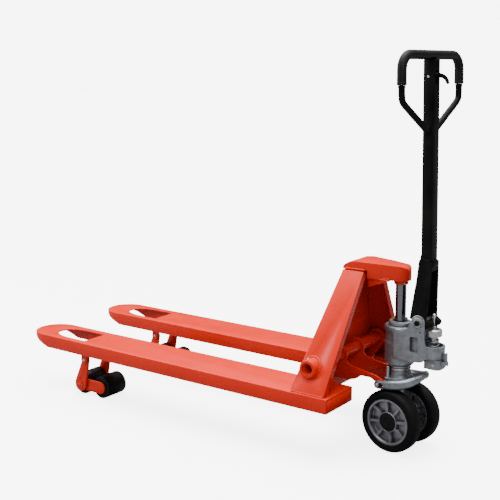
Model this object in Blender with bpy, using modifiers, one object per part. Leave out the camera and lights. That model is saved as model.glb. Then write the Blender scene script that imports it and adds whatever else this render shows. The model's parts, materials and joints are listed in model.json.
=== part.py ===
"""Hand pallet truck with its forks raised: welded fork frame, hydraulic pump unit on steering
wheels, tiller, and the rocker, push rods and roller legs that lift the fork tips.

Lengths are in metres. +X points from the fork tips to the tiller, +Z is up, and the floor is Z = 0.
Most pieces are laid out around the ram axis, which stands at X = RAM_X."""

import math

import bmesh
import bpy
from mathutils import Matrix, Vector

# ---------------------------------------------------------------- driving dimensions
RAM_X = 0.6298  # puts the middle of the whole truck over the origin
GAP = 0.0003  # left between neighbours that touch
SHEET = 0.005  # plate of the forks
PLATE = 0.006  # plate of the tower

TRUCK_WIDTH = 0.550
FORK_WIDTH = 0.160
FORK_TOP = 0.205  # raised
SKIRT = 0.046
TIP_X = -1.428
HEEL_X = -0.104
NOSE_START_X = -1.344
FORK_Y = (TRUCK_WIDTH - FORK_WIDTH) / 2

OPENING_REAR_X = -1.150  # roller opening in the fork top
OPENING_FRONT_X = -1.326
OPENING_HALF = 0.052

LEG_PIVOT = (-1.139, 0.1395)
LEG_LENGTH = 0.1039
LEG_ANGLE = 73.2  # below the direction of the tips
LEG_LEVER = 0.050
LEG_LEVER_ANGLE = 120.0
LEG_BAR_R = 0.0085
ROLLER_R = 0.040
ROLLER_HALF = 0.0455
ROLLER_SPACING = 0.092

TOWER_FOOT_Z = 0.2101  # its plates stand clear of the load face, on their welds
TOWER_HEAD_Z = 0.5630
TOWER_FOOT_Y = 0.267
TOWER_HEAD_Y = 0.066
CAP_TOP_Z = 0.591
CAP_END_R = 0.0315  # round end of the cap, over the ram
LIP = 0.022  # turned in along the rear edges of the tower

SHAFT = (-0.186, 0.280)  # torsion shaft
SHAFT_R = 0.019
LEVER_LENGTH = 0.0916
LEVER_ANGLE = 20.55  # forward of straight down, forks raised
ROCKER_PIN = (-0.036, 0.214)
ROCKER_PIN_R = 0.0065
ROCKER_TRAVEL = 0.0141  # how far the pin slides along the bracket's slot

RAM_R = 0.017
BARREL_R = 0.049
CUP_X = 0.119
CUP_R = 0.034
CUP_FLOOR_Z = 0.330
PLUNGER_TOP_Z = 0.404

RELEASE = (0.1635, 0.300)

STEER_ANGLE = -5.2
WHEEL_R = 0.100
WHEEL_HALF = 0.025
WHEEL_Y = 0.058
AXLE_X = 0.010

HANDLE_PIN = (0.0875, 0.424)
HANDLE_LEAN = -0.85
PRESS_ROLLER = (0.0295, -0.004)
TUBE = 0.036
TUBE_X = 0.012
LOOP_Z = 0.810
LOOP_HALF = 0.165
GRIP_R = 0.0135
ARM_R = 0.0095
TRIGGER_Z = 0.745

RED = (0.72, 0.06, 0.02)
STEEL = (0.55, 0.56, 0.58)
CAST = (0.42, 0.44, 0.46)
BLACK = (0.015, 0.015, 0.016)
RUBBER = (0.02, 0.02, 0.022)
FINISHES = {
    "red paint": (RED, 0.35, 0.0),
    "chrome": ((0.8, 0.8, 0.82), 0.08, 1.0),
    "steel": (STEEL, 0.35, 1.0),
    "cast grey": (CAST, 0.45, 0.6),
    "black paint": (BLACK, 0.4, 0.0),
    "rubber": (RUBBER, 0.7, 0.0),
    "aluminium": ((0.62, 0.63, 0.65), 0.4, 1.0),
    "plastic": ((0.02, 0.02, 0.02), 0.5, 0.0),
}
COS, SIN = math.cos, math.sin


# ---------------------------------------------------------------- scene and materials
def clear_scene():
    for obj in list(bpy.data.objects):
        bpy.data.objects.remove(obj, do_unlink=True)


def collection(name):
    made = bpy.data.collections.new(name)
    bpy.context.scene.collection.children.link(made)
    return made


def finish_material(name):
    if name in bpy.data.materials:
        return bpy.data.materials[name]
    colour, roughness, metallic = FINISHES[name]
    made = bpy.data.materials.new(name)
    made.use_nodes = True
    shader = made.node_tree.nodes["Principled BSDF"]
    shader.inputs["Base Color"].default_value = (*colour, 1)
    shader.inputs["Roughness"].default_value = roughness
    shader.inputs["Metallic"].default_value = metallic
    return made


clear_scene()
TRUCK = collection("pallet_jack")
CUTTERS = collection("cutters")


def joint_axis(name, location, parent=None, turn=(0, 0, 0)):
    """An empty whose place and tilt are those of a joint."""
    empty = bpy.data.objects.new(name, None)
    TRUCK.objects.link(empty)
    empty.location = location
    empty.rotation_euler = [math.radians(angle) for angle in turn]
    empty.parent = parent
    return empty


def part(obj, name, finish, parent):
    """Files a finished solid under its node name, material and joint."""
    obj.name = obj.data.name = name
    obj.data.materials.append(finish_material(finish))
    obj.data.shade_smooth()
    obj.data.set_sharp_from_angle(angle=math.radians(35))
    obj.parent = parent
    return obj


# ---------------------------------------------------------------- solids
def solid(bm):
    mesh = bpy.data.meshes.new("solid")
    bm.to_mesh(mesh)
    bm.free()
    obj = bpy.data.objects.new("solid", mesh)
    TRUCK.objects.link(obj)
    return obj


def applied(obj):
    """The same object as a plain welded mesh, its modifiers or curve worked out."""
    bpy.context.view_layer.update()
    graph = bpy.context.evaluated_depsgraph_get()
    mesh = bpy.data.meshes.new_from_object(obj.evaluated_get(graph))
    bm = bmesh.new()
    bm.from_mesh(mesh)
    bmesh.ops.remove_doubles(bm, verts=bm.verts, dist=1e-6)
    bmesh.ops.recalc_face_normals(bm, faces=bm.faces)
    made = solid(bm)
    made.matrix_world = obj.matrix_world
    bpy.data.objects.remove(obj, do_unlink=True)
    bpy.data.meshes.remove(mesh)
    return made


def box(low, high):
    bm = bmesh.new()
    bmesh.ops.create_cube(bm, size=1)
    low, high = Vector(low), Vector(high)
    bmesh.ops.scale(bm, vec=high - low, verts=bm.verts)
    bmesh.ops.translate(bm, vec=(low + high) / 2, verts=bm.verts)
    return solid(bm)


def tapered_box(foot_z, foot, head_z, head):
    """A box whose foot and head are unlike rectangles, each (low x, high x, half y)."""
    bm = bmesh.new()
    bmesh.ops.create_cube(bm, size=2)
    for vert in bm.verts:
        z, (low, high, half) = (head_z, head) if vert.co.z > 0 else (foot_z, foot)
        vert.co = (high if vert.co.x > 0 else low, half * vert.co.y, z)
    return solid(bm)


def cylinder(radius, start, end, sides=24):
    """A round bar between two points."""
    start, end = Vector(start), Vector(end)
    bm = bmesh.new()
    bmesh.ops.create_cone(
        bm, cap_ends=True, segments=sides, radius1=radius, radius2=radius, depth=(end - start).length
    )
    turn = (end - start).to_track_quat("Z", "Y").to_matrix().to_4x4()
    bmesh.ops.transform(bm, matrix=Matrix.Translation((start + end) / 2) @ turn, verts=bm.verts)
    return solid(bm)


def turned(profile, closed=False, sides=24, matrix=None):
    """A profile of (radius, height) spun round Z: down its outer side, then back up the bore."""
    mesh = bpy.data.meshes.new("profile")
    count = len(profile)
    edges = [(i, (i + 1) % count) for i in range(count if closed else count - 1)]
    mesh.from_pydata([(r, 0, z) for r, z in profile], edges, [])
    obj = bpy.data.objects.new("profile", mesh)
    TRUCK.objects.link(obj)
    spin = obj.modifiers.new("spin", "SCREW")
    spin.steps = spin.render_steps = sides
    spin.use_merge_vertices = True
    spin.merge_threshold = 1e-6
    made = applied(obj)
    if matrix is not None:
        made.data.transform(matrix)
    return made


def plate(outline, thickness, holes=()):
    """A flat plate in XY, centred on its thickness."""
    curve = bpy.data.curves.new("outline", "CURVE")
    curve.dimensions = "2D"
    curve.fill_mode = "BOTH"
    curve.extrude = thickness / 2
    for loop in (outline, *holes):
        spline = curve.splines.new("POLY")
        spline.points.add(len(loop) - 1)
        for point, (x, y) in zip(spline.points, loop):
            point.co = (x, y, 0, 1)
        spline.use_cyclic_u = True
    obj = bpy.data.objects.new("outline", curve)
    TRUCK.objects.link(obj)
    return applied(obj)


def plan_plate(outline, low_z, high_z, holes=()):
    """A plate lying flat, its outline in X and Y."""
    made = plate(outline, high_z - low_z, holes)
    made.data.transform(Matrix.Translation((0, 0, (low_z + high_z) / 2)))
    return made


def side_plate(outline, low_y, high_y, holes=()):
    """A plate standing along the truck, its outline in X and Z."""
    made = plate(outline, high_y - low_y, holes)
    stand = Matrix.Translation((0, (low_y + high_y) / 2, 0)) @ Matrix.Rotation(math.pi / 2, 4, "X")
    made.data.transform(stand)
    return made


def rod(points, radius, bevel=2):
    """A bent round bar through a list of points."""
    curve = bpy.data.curves.new("rod", "CURVE")
    curve.dimensions = "3D"
    curve.bevel_depth = radius
    curve.bevel_resolution = bevel
    curve.use_fill_caps = True
    spline = curve.splines.new("POLY")
    spline.points.add(len(points) - 1)
    for point, place in zip(spline.points, points):
        point.co = (*place, 1)
    obj = bpy.data.objects.new("rod", curve)
    TRUCK.objects.link(obj)
    return applied(obj)


def combined(obj, others, operation="UNION"):
    """Joins or cuts a solid with helpers, which are kept as wire cutters."""
    for other in others:
        step = obj.modifiers.new(operation.lower(), "BOOLEAN")
        step.operation = operation
        step.solver = "EXACT"
        step.object = other
        TRUCK.objects.unlink(other)
        CUTTERS.objects.link(other)
        other.hide_render = True
        other.display_type = "WIRE"
    made = applied(obj)
    for other in others:
        bpy.data.objects.remove(other, do_unlink=True)
    return made


def cut(obj, *others):
    return combined(obj, others, "DIFFERENCE")


def mirrored(obj):
    """A copy on the other side of the truck."""
    made = bpy.data.objects.new("copy", obj.data.copy())
    TRUCK.objects.link(made)
    made.data.materials.clear()
    made.data.transform(Matrix.Scale(-1, 4, (0, 1, 0)))
    made.data.flip_normals()
    return made


def moved(obj, x=0, y=0, z=0):
    obj.data.transform(Matrix.Translation((x, y, z)))
    return obj


def pair(obj, name, finish, parents):
    """Files the left piece, and its mirror image as the right one."""
    other = mirrored(obj)
    left, right = parents if isinstance(parents, tuple) else (parents, parents)
    return part(obj, name + "_left", finish, left), part(other, name + "_right", finish, right)


# ---------------------------------------------------------------- outlines
def arc(centre, radius, start, end, count):
    """Points on a circle from one angle to another, in degrees, both ends included."""
    turns = [math.radians(start + (end - start) * i / count) for i in range(count + 1)]
    return [(centre[0] + radius * COS(t), centre[1] + radius * SIN(t)) for t in turns]


def circle(centre, radius, count=24):
    return arc(centre, radius, 0, 360, count)[:-1]


def bar(a, radius_a, b, radius_b, count=8):
    """The outline of two round ends and the straight sides between them."""
    across = math.hypot(b[0] - a[0], b[1] - a[1])
    heading = math.degrees(math.atan2(b[1] - a[1], b[0] - a[0]))
    side = math.degrees(math.acos((radius_a - radius_b) / across))
    first = arc(a, radius_a, heading + side, heading + 360 - side, count)
    return first + arc(b, radius_b, heading - side, heading + side, count)


def slot(a, b, radius):
    return bar(a, radius, b, radius, 6)


def half_ellipse(x, reach, half, count):
    """Points from one side round the front (-X) to the other."""
    turns = [math.pi * i / count for i in range(count + 1)]
    return [(x - reach * SIN(t), half * COS(t)) for t in turns]


def polar(origin, radius, angle):
    turn = math.radians(angle)
    return origin[0] + radius * COS(turn), origin[1] + radius * SIN(turn)


# ---------------------------------------------------------------- joint axes
FRAME = joint_axis("lift_axis", (RAM_X, 0, 0))
BASE = joint_axis("base_origin", (RAM_X, 0, 0))
STEER = joint_axis("steer_axis", (RAM_X, 0, 0), turn=(0, 0, STEER_ANGLE))
ROCKER = joint_axis("rocker_axis", (SHAFT[0], 0, SHAFT[1]), FRAME)
HANDLE = joint_axis("handle_axis", (HANDLE_PIN[0], 0, HANDLE_PIN[1]), STEER, (0, HANDLE_LEAN, 0))
TRIGGER = joint_axis("trigger_axis", (TUBE_X, 0, TRIGGER_Z), HANDLE)


# ---------------------------------------------------------------- fork frame
def fork():
    """A channel open below, with a sloped nose, a roller opening and the ears of the leg."""
    half = FORK_WIDTH / 2
    bottom = FORK_TOP - SKIRT
    reach = NOSE_START_X - TIP_X
    outer = [(HEEL_X, -half), (HEEL_X, half)] + half_ellipse(NOSE_START_X, reach, half, 14)
    body = plan_plate(outer, bottom, FORK_TOP)
    inner_half = half - SHEET
    inner = [(HEEL_X + 0.02, -inner_half), (HEEL_X + 0.02, inner_half)]
    inner += half_ellipse(NOSE_START_X, reach - SHEET, inner_half, 14)
    hollow = plan_plate(inner, bottom - 0.02, FORK_TOP - SHEET)
    slope = [(-1.319, bottom), (-1.399, bottom + 0.031), (-1.500, bottom + 0.031), (-1.500, bottom - 0.03),
             (-1.319, bottom - 0.03)]
    under_nose = side_plate(slope, -0.1, 0.1)
    opening = [(OPENING_REAR_X, -OPENING_HALF), (OPENING_REAR_X, OPENING_HALF)]
    front = OPENING_REAR_X - 0.079
    opening += half_ellipse(front, front - OPENING_FRONT_X, OPENING_HALF, 12)
    roller_opening = plan_plate(opening, FORK_TOP - 0.02, FORK_TOP + 0.02)
    slot_front, slot_rear = SHAFT[0] - 0.046, SHAFT[0] + 0.046
    lever_slot = box((slot_front, -0.014, FORK_TOP - 0.02), (slot_rear, 0.014, FORK_TOP + 0.02))
    body = cut(body, hollow, under_nose, roller_opening, lever_slot)
    pivot = LEG_PIVOT
    ear = arc(pivot, 0.014, 180, 360, 8) + [(pivot[0] + 0.024, FORK_TOP - 0.002),
                                            (pivot[0] - 0.008, FORK_TOP - 0.002)]
    hole = circle(pivot, 0.0083, 16)
    ears = [side_plate(ear, low, low + 0.008, [hole]) for low in (-0.0685, 0.0605)]
    return combined(body, ears)


def fork_frame():
    made = moved(fork(), y=-FORK_Y)
    pair(made, "fork", "red paint", FRAME)
    bottom = FORK_TOP - SKIRT
    inside = FORK_WIDTH / 2 - SHEET - GAP
    heel = box((HEEL_X - SHEET, -inside, bottom), (HEEL_X, inside, FORK_TOP - SHEET - GAP))
    pair(moved(heel, y=-FORK_Y), "heel_plate", "red paint", FRAME)
    half = FORK_Y - FORK_WIDTH / 2 - GAP
    member = box((-0.245, -half, 0.163), (-0.205, half, 0.2))
    inner = box((-0.241, -half - 0.01, 0.167), (-0.209, half + 0.01, 0.196))
    part(cut(member, inner), "heel_crossmember", "red paint", FRAME)


def tower():
    rise = TOWER_HEAD_Z - TOWER_FOOT_Z
    lean = math.atan2(rise, TOWER_FOOT_Y - TOWER_HEAD_Y)
    length = rise / SIN(lean)
    foot = Matrix.Translation((0, -TOWER_FOOT_Y, TOWER_FOOT_Z))
    tilt = foot @ Matrix.Rotation(lean, 4, "X")
    web = plate([(-0.237, 0), (-0.118, 0), (-0.098, length), (-0.172, length)], PLATE)
    web.data.transform(tilt @ Matrix.Translation((0, 0, -PLATE / 2)))
    lip_outline = [(-0.124, 0.008), (-0.1183, 0.008), (-0.0983, length - 0.002), (-0.104, length - 0.002)]
    lip = plate(lip_outline, LIP)
    lip.data.transform(tilt @ Matrix.Translation((0, 0, -LIP / 2 - 0.0005)))
    side = combined(web, [lip])
    window = cylinder(0.0288, (SHAFT[0], -0.3, SHAFT[1]), (SHAFT[0], -0.1, SHAFT[1]), 32)
    pair(cut(side, window), "tower_side", "red paint", FRAME)

    inset = PLATE / SIN(lean) + GAP
    low, high = TOWER_FOOT_Y - inset, TOWER_HEAD_Y - inset
    depth = 0.065
    slope = math.hypot(rise, depth)
    front = plate([(-low, 0), (low, 0), (high, slope), (-high, slope)], PLATE)
    stand = Matrix.Translation((-0.237, 0, TOWER_FOOT_Z)) @ Matrix.Rotation(math.atan2(depth, rise), 4, "Y")
    upright = Matrix(((0, 0, 1, 0), (1, 0, 0, 0), (0, 1, 0, 0), (0, 0, 0, 1)))
    front.data.transform(stand @ Matrix.Translation((PLATE / 2, 0, 0)) @ upright)
    part(front, "tower_front", "red paint", FRAME)

    seat = TOWER_HEAD_Z + 0.002
    profile = [(-0.176, seat), (-0.0935, seat), (-0.0935, 0.540), (CAP_END_R, 0.540), (CAP_END_R, 0.572),
               (0.026, 0.580), (0.014, CAP_TOP_Z - 0.005), (-0.050, CAP_TOP_Z - 0.002), (-0.130, CAP_TOP_Z),
               (-0.155, CAP_TOP_Z - 0.003), (-0.168, CAP_TOP_Z - 0.010), (-0.176, 0.572)]
    body = side_plate(profile, -0.08, 0.08)
    plan = [(-0.18, 0.060), (-0.18, -0.060), (-0.12, -0.056), (-0.06, -0.045)]
    plan += arc((0, 0), CAP_END_R, -90, 90, 12) + [(-0.06, 0.045), (-0.12, 0.056)]
    body = combined(body, [plan_plate(plan, 0.5, 0.6)], "INTERSECT")
    pocket = box((-0.15, -0.038, 0.5), (-0.03, 0.038, 0.574))
    part(cut(body, pocket), "tower_cap", "red paint", FRAME)

    ring = turned([(0.0225, 0.5397), (0.0225, 0.527), (RAM_R + GAP, 0.527), (RAM_R + GAP, 0.5397)], True)
    part(ring, "ram_socket", "red paint", FRAME)
    part(cylinder(RAM_R, (0, 0, 0.395), (0, 0, 0.5394)), "ram", "chrome", FRAME)

    boss = turned([(0.0285, 0.050), (0.0285, 0.012), (0.0205, 0.003), (0.0205, 0), (SHAFT_R + GAP, 0),
                   (SHAFT_R + GAP, 0.050)][::-1], True)
    boss_end = Matrix.Translation((SHAFT[0], -0.253, SHAFT[1]))
    boss.data.transform(boss_end @ Matrix.Rotation(-math.pi / 2, 4, "X"))
    pair(boss, "shaft_boss", "red paint", FRAME)


# ---------------------------------------------------------------- rocker, push rods and legs
def rocker():
    """Everything here turns with the torsion shaft, so it is laid out around the shaft's axis."""
    shaft = cylinder(SHAFT_R, (0, -0.250, 0), (0, 0.250, 0), 24)
    bore = cylinder(0.0155, (0, -0.3, 0), (0, 0.3, 0), 16)
    part(cut(shaft, bore), "torsion_shaft", "red paint", ROCKER)

    pin = (ROCKER_PIN[0] - SHAFT[0], ROCKER_PIN[1] - SHAFT[1])
    web = arc((0, 0), 0.030, -30, 180, 10)
    web += [(-0.028, -0.060), (-0.010, -0.077), (0.040, -0.077)]
    web += [(0.056, -0.0715), (0.068, -0.0660), (0.080, -0.0560), (0.092, -0.0520)]  # arched over the tyres
    web += [(0.104, -0.0535), (0.118, -0.0565), (0.128, -0.0620)]
    web += arc(pin, 0.0125, -155, 60, 10)
    web += [(0.128, -0.044), (0.062, -0.033), (0.036, -0.027)]
    holes = [circle((0, 0), SHAFT_R + GAP), circle(pin, ROCKER_PIN_R + GAP, 16)]
    pair(side_plate(web, -0.0600, -0.0520, holes), "rocker_arm", "red paint", ROCKER)
    peg = cylinder(ROCKER_PIN_R, (pin[0], -0.0830, pin[1]), (pin[0], -0.0500, pin[1]), 16)
    pair(peg, "rocker_pin", "steel", ROCKER)

    tail = polar((0, 0), LEVER_LENGTH, 270 - LEVER_ANGLE)
    lever = side_plate(bar((0, 0), 0.030, tail, 0.010), -FORK_Y - 0.006, -FORK_Y + 0.006,
                       [circle((0, 0), SHAFT_R + GAP)])
    pin = cylinder(0.005, (tail[0], -FORK_Y - 0.013, tail[1]), (tail[0], -FORK_Y + 0.013, tail[1]), 12)
    pair(combined(lever, [pin]), "fork_lever", "red paint", ROCKER)


def push_rods():
    """A rod with a slotted fork at the lever, and a shoe that pushes the crossbar of the leg."""
    swing = math.radians(LEVER_ANGLE)
    rear_x = SHAFT[0] - LEVER_LENGTH * SIN(swing)
    pin_z = SHAFT[1] - LEVER_LENGTH * COS(swing)
    dip = LEVER_LENGTH * (1 - COS(swing))
    crown = polar(LEG_PIVOT, LEG_LEVER, LEG_LEVER_ANGLE)
    shoe_x = crown[0] + LEG_BAR_R + 0.0028
    shank = cylinder(0.007, (rear_x - 0.022, 0, 0.1920), (shoe_x + 0.003, 0, 0.1840), 12)
    bridge = box((rear_x - 0.034, -0.0118, 0.1845), (rear_x - 0.0165, 0.0118, 0.1990))
    shoe = box((shoe_x, -0.020, 0.1660), (shoe_x + 0.006, 0.020, 0.1990))
    cheeks = []
    for low in (-0.0125, 0.0065):
        outline = [(rear_x - 0.030, 0.1840), (rear_x + 0.011, 0.1800), (rear_x + 0.011, 0.1995),
                   (rear_x - 0.030, 0.1995)]
        eye = slot((rear_x, pin_z - dip - 0.0002), (rear_x, pin_z + 0.0002), 0.0056)
        cheeks.append(side_plate(outline, low, low + 0.006, [eye]))
    return combined(shank, [bridge, shoe, *cheeks])


def legs():
    """Each leg turns on stub pins in the fork's ears, and carries two rollers on level links."""
    def make(side, sign):
        hip = joint_axis(f"leg_axis_{side}", (LEG_PIVOT[0], sign * FORK_Y, LEG_PIVOT[1]), FRAME)
        foot = polar((0, 0), LEG_LENGTH, 180 + LEG_ANGLE)
        crown = polar((0, 0), LEG_LEVER, LEG_LEVER_ANGLE)
        link = joint_axis(f"bogie_axis_{side}", (foot[0], 0, foot[1]), hip)
        plates = []
        for low in (-0.0595, 0.0525):
            shin = side_plate(bar((0, 0), 0.0145, foot, 0.027), low, low + 0.007)
            thigh = side_plate(bar((0, 0), 0.0140, crown, 0.0095), low + 0.0004, low + 0.0066)
            hole = cylinder(0.0103, (foot[0], -0.08, foot[1]), (foot[0], 0.08, foot[1]), 16)
            plates.append(cut(combined(shin, [thigh]), hole))
        tube = cylinder(LEG_BAR_R, (crown[0], -0.055, crown[1]), (crown[0], 0.055, crown[1]), 16)
        stubs = [cylinder(0.0080, (0, s * 0.056, 0), (0, s * 0.0690, 0), 16) for s in (-1, 1)]
        part(combined(plates[0], [tube, plates[1], *stubs]), f"leg_{side}", "red paint", hip)
        axle = cylinder(0.010, (foot[0], -0.0610, foot[1]), (foot[0], 0.0610, foot[1]), 16)
        part(axle, f"leg_axle_{side}", "steel", hip)
        links = []
        rear = (ROLLER_SPACING, 0)
        for low in (-0.0520, 0.0465):
            hole = circle((0, 0), 0.0103, 16)
            links.append(side_plate(bar((0, 0), 0.022, rear, 0.022), low, low + 0.0055, [hole]))
        spindle = cylinder(0.010, (rear[0], -0.050, 0), (rear[0], 0.050, 0), 16)
        part(combined(links[0], [spindle, links[1]]), f"bogie_{side}", "red paint", link)
        for place, x in (("front", 0), ("rear", ROLLER_SPACING)):
            turn = joint_axis(f"roller_axis_{place}_{side}", (x, 0, 0), link)
            drum = turned([(ROLLER_R - 0.002, ROLLER_HALF), (ROLLER_R, ROLLER_HALF - 0.002),
                           (ROLLER_R, -ROLLER_HALF + 0.002), (ROLLER_R - 0.002, -ROLLER_HALF),
                           (0.0103, -ROLLER_HALF), (0.0103, ROLLER_HALF)], True, 32,
                          Matrix.Rotation(math.pi / 2, 4, "X"))
            part(drum, f"{place}_roller_{side}", "plastic", turn)

    make("left", -1)
    make("right", 1)


# ---------------------------------------------------------------- base bracket
def base():
    """The bracket that carries the lift linkage and the steering bearing, and never steers."""
    ear_in, ear_out = 0.0625, 0.0800
    pin_x, slot_z = ROCKER_PIN[0], ROCKER_PIN[1] - 0.0005
    plan = [(pin_x, -ear_out), (0.004, -ear_out)] + arc((-0.001, -0.037), 0.043, -80, 0, 8)
    plan += arc((-0.001, 0.037), 0.043, 0, 80, 8) + [(0.004, ear_out), (pin_x, ear_out)]
    plan += [(pin_x, ear_in), (-0.002, ear_in), (-0.002, 0.050), (-0.030, 0.046), (-0.034, 0.030)]
    plan += [(-0.034, -0.030), (-0.030, -0.046), (-0.002, -0.050), (-0.002, -ear_in), (pin_x, -ear_in)]
    body = plan_plate(plan, 0.2052, 0.2262)
    seat = cylinder(0.037, (0, 0, 0.225), (0, 0, 0.250), 32)
    front, rear = (pin_x, slot_z), (pin_x + ROCKER_TRAVEL, slot_z)
    ear_outline = slot(front, rear, 0.0120)
    ears = [side_plate(ear_outline, low, low + 0.014) for low in (-ear_out - 0.0005, ear_out - 0.0135)]
    body = combined(body, [seat, *ears])
    stem_hole = cylinder(0.0225, (0, 0, 0.15), (0, 0, 0.3), 32)
    pin_slot = side_plate(slot((pin_x - 0.0003, slot_z), (rear[0] + 0.0002, slot_z), 0.0073), -0.1, 0.1)
    part(cut(body, stem_hole, pin_slot), "base_bracket", "cast grey", BASE)
    stud = cylinder(0.006, (-0.020, -0.040, 0.2265), (-0.020, -0.040, 0.2665), 16)
    part(stud, "stop_stud", "steel", BASE)


# ---------------------------------------------------------------- pump unit
def pump():
    waist = BARREL_R - 0.003
    barrel = turned([(0, 0.398), (0.040, 0.398), (BARREL_R, 0.391), (BARREL_R, 0.347), (waist, 0.343),
                     (waist, 0.276), (0.038, 0.268), (0, 0.268)], sides=32)
    web = plan_plate(bar((0, 0), 0.0445, (CUP_X, 0), CUP_R - 0.0030), 0.3125, 0.3495)
    foot = plan_plate(bar((0, 0), 0.0435, (0.066, 0), 0.0340), 0.296, 0.320)
    cup = turned([(0, 0.352), (CUP_R, 0.352), (CUP_R, 0.319), (CUP_R - 0.0015, 0.315), (0, 0.315)],
                 sides=28)
    moved(cup, x=CUP_X)
    ears = []
    for low in (-0.050, 0.037):
        ear = side_plate(bar((0.066, 0.335), 0.034, HANDLE_PIN, 0.0225), low, low + 0.013)
        ears.append(ear)
    body = combined(barrel, [web, foot, cup, *ears])
    pin_x, pin_z = HANDLE_PIN
    drill = cylinder(0.0111, (pin_x, -0.1, pin_z), (pin_x, 0.1, pin_z), 20)
    cavity = cylinder(CUP_R - 0.0045, (CUP_X, 0, CUP_FLOOR_Z), (CUP_X, 0, 0.40), 32)
    bore = cylinder(0.0105, (CUP_X, 0, 0.316), (CUP_X, 0, 0.34), 16)
    ram_way = cylinder(RAM_R + 0.0007, (0, 0, 0.274), (0, 0, 0.45), 24)
    recess = [box((0.050, low, 0.304), (0.076, low + 0.012, 0.356)) for low in (-0.056, 0.044)]
    part(cut(body, drill, cavity, bore, ram_way, *recess), "pump_housing", "cast grey", STEER)

    gland = turned([(0.033, 0.410), (0.036, 0.407), (0.036, 0.3983), (RAM_R + GAP, 0.3983),
                    (RAM_R + GAP, 0.410)], True)
    part(gland, "gland_nut", "cast grey", STEER)
    plan = [(0.1025, -0.026)] + arc((0.137, -0.010), 0.016, -90, 0, 5)
    plan += arc((0.137, 0.010), 0.016, 0, 90, 5)
    block = plan_plate(plan + [(0.1025, 0.026)], 0.281, 0.3122)
    lugs = [box((0.150, low, 0.2930), (0.1680, low + 0.003, 0.3070)) for low in (-0.0095, 0.0065)]
    block = combined(block, lugs)
    part(block, "valve_block", "cast grey", STEER)

    lever = side_plate(bar((0, 0), 0.005, (0, 0.040), 0.0035), -0.006, 0.006)
    part(lever, "release_lever", "steel", joint_axis("release_axis", (RELEASE[0], 0, RELEASE[1]), STEER))

    race = turned([(0.035, 0.2677), (0.035, 0.2503), (0.0225, 0.2503), (0.0225, 0.2677)], True)
    part(race, "thrust_bearing", "steel", STEER)
    stem = cylinder(0.0205, (0, 0, 0.098), (0, 0, 0.2677), 24)
    hub = cylinder(0.024, (AXLE_X, -0.030, WHEEL_R), (AXLE_X, 0.030, WHEEL_R), 24)
    hole = cylinder(0.0103, (AXLE_X, -0.1, WHEEL_R), (AXLE_X, 0.1, WHEEL_R), 16)
    part(cut(combined(stem, [hub]), hole), "steering_stem", "cast grey", STEER)
    axle = cylinder(0.010, (AXLE_X, -0.078, WHEEL_R), (AXLE_X, 0.078, WHEEL_R), 16)
    part(axle, "wheel_axle", "steel", STEER)


def plunger():
    axis = joint_axis("plunger_axis", (CUP_X, 0, 0), STEER)
    top = PLUNGER_TOP_Z
    skirt = top - 0.024
    cap = turned([(0, top), (0.023, top), (0.0265, top - 0.004), (0.0265, skirt), (0.022, skirt),
                  (0.022, top - 0.006), (0.010, top - 0.006), (0.010, 0.360), (0, 0.360)], sides=28)
    part(cap, "plunger", "steel", axis)
    base_z = top + GAP
    ball = [polar((0, 0.442), 0.010, angle) for angle in range(75, -61, -15)]
    screw = turned([(0, 0.452), *ball, (0.0045, 0.432), (0.0045, base_z + 0.009), (0.011, base_z + 0.008),
                    (0.011, base_z), (0, base_z)], sides=16)
    part(screw, "plunger_screw", "steel", axis)
    turns, steps = 4, 10
    coil = []
    low, high = CUP_FLOOR_Z + 0.0025, top - 0.0085
    for i in range(turns * steps + 1):
        angle = 2 * math.pi * i / steps
        coil.append((0.0165 * COS(angle), 0.0165 * SIN(angle), low + (high - low) * i / (turns * steps)))
    part(moved(rod(coil, 0.0018, 1), x=CUP_X), "plunger_spring", "steel", STEER)


def wheels():
    for side, sign in (("left", -1), ("right", 1)):
        turn = joint_axis(f"wheel_axis_{side}", (AXLE_X, sign * WHEEL_Y, WHEEL_R), STEER)
        lay = Matrix.Rotation(sign * -math.pi / 2, 4, "X")
        wide, rim = WHEEL_HALF, 0.0735
        shoulder = [(rim + GAP, wide - 0.001), (0.088, wide), (0.096, wide - 0.004),
                    (WHEEL_R, wide - 0.013)]
        tyre = turned(shoulder + [(r, -y) for r, y in reversed(shoulder)], True, 40, lay)
        part(tyre, f"tyre_{side}", "rubber", turn)
        face = [(0.0103, wide - 0.004), (0.027, wide - 0.004), (0.030, 0.006), (rim - 0.008, 0.004),
                (rim - 0.006, wide - 0.002), (rim, wide - 0.001)]
        back = [(rim, 0.001 - wide), (rim - 0.006, 0.002 - wide), (rim - 0.008, -0.004), (0.030, -0.006),
                (0.027, 0.001 - wide), (0.0103, 0.001 - wide)]
        part(turned(face + back, True, 40, lay), f"wheel_hub_{side}", "aluminium", turn)
        cap = turned([(0, wide + 0.0005), (0.012, wide + 0.0002), (0.022, wide - 0.0015),
                      (0.024, wide - 0.0037), (0, wide - 0.0037)], sides=24)
        cap.data.transform(lay)
        part(cap, f"hub_cap_{side}", "plastic", turn)


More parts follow.
